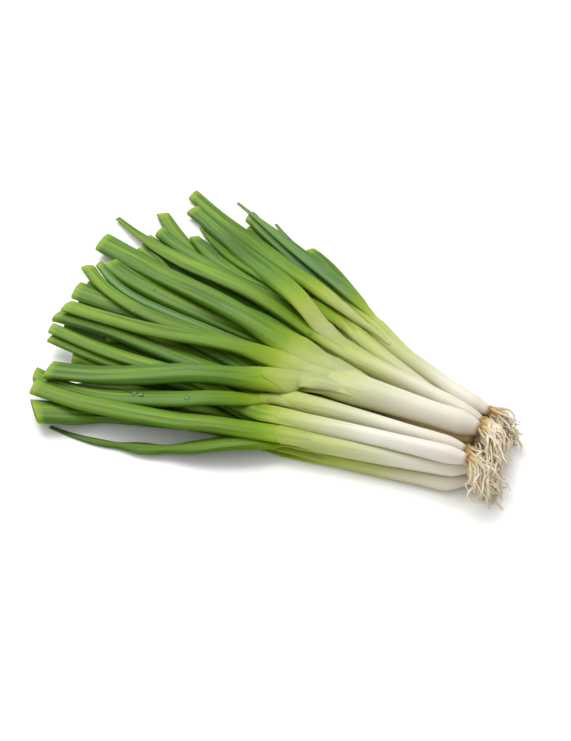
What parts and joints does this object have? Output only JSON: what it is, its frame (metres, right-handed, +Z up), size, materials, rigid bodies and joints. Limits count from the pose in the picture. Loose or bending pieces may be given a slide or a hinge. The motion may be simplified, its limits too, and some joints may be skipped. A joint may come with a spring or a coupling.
{
  "type": "spring onion bunch",
  "caption": "Bunch of spring onions lying flat: white stems with root tufts at one end, cut green leaves fanned out at the other.",
  "frame": {"origin": "middle of the bunch's bounding box, on the surface that it lies on", "axes": "+Z up from the surface, roots towards +X, leaves towards -X, +Y across the bunch"},
  "size_m": [0.3406, 0.2306, 0.0306],
  "materials": {
    "stem": "moist satin",
    "leaf": "waxy satin",
    "roots": "dull"
  },
  "bodies": {
    "root": {"onion_10_leaf_1": "leaf", "onion_10_leaf_2": "leaf", "onion_10_leaf_3": "leaf", "onion_10_roots": "roots", "onion_10_stem": "stem", "onion_11_leaf_1": "leaf", "onion_11_leaf_2": "leaf", "onion_11_leaf_3": "leaf", "onion_11_leaf_4": "leaf", "onion_11_leaf_5": "leaf", "onion_11_roots": "roots", "onion_11_stem": "stem", "onion_1_leaf_1": "leaf", "onion_1_leaf_2": "leaf", "onion_1_roots": "roots", "onion_1_stem": "stem", "onion_2_leaf_1": "leaf", "onion_2_leaf_2": "leaf", "onion_2_leaf_3": "leaf", "onion_2_roots": "roots", "onion_2_stem": "stem", "onion_3_leaf_1": "leaf", "onion_3_leaf_2": "leaf", "onion_3_leaf_3": "leaf", "onion_3_leaf_4": "leaf", "onion_3_roots": "roots", "onion_3_stem": "stem", "onion_4_leaf_1": "leaf", "onion_4_leaf_2": "leaf", "onion_4_leaf_3": "leaf", "onion_4_leaf_4": "leaf", "onion_4_roots": "roots", "onion_4_stem": "stem", "onion_5_leaf_1": "leaf", "onion_5_leaf_2": "leaf", "onion_5_leaf_3": "leaf", "onion_5_leaf_4": "leaf", "onion_5_leaf_5": "leaf", "onion_5_roots": "roots", "onion_5_stem": "stem", "onion_6_leaf_1": "leaf", "onion_6_leaf_2": "leaf", "onion_6_roots": "roots", "onion_6_stem": "stem", "onion_7_leaf_1": "leaf", "onion_7_leaf_2": "leaf", "onion_7_leaf_3": "leaf", "onion_7_leaf_4": "leaf", "onion_7_roots": "roots", "onion_7_stem": "stem", "onion_8_leaf_1": "leaf", "onion_8_leaf_2": "leaf", "onion_8_leaf_3": "leaf", "onion_8_leaf_4": "leaf", "onion_8_roots": "roots", "onion_8_stem": "stem", "onion_9_leaf_1": "leaf", "onion_9_leaf_2": "leaf", "onion_9_roots": "roots", "onion_9_stem": "stem"}
  },
  "joints": []
}
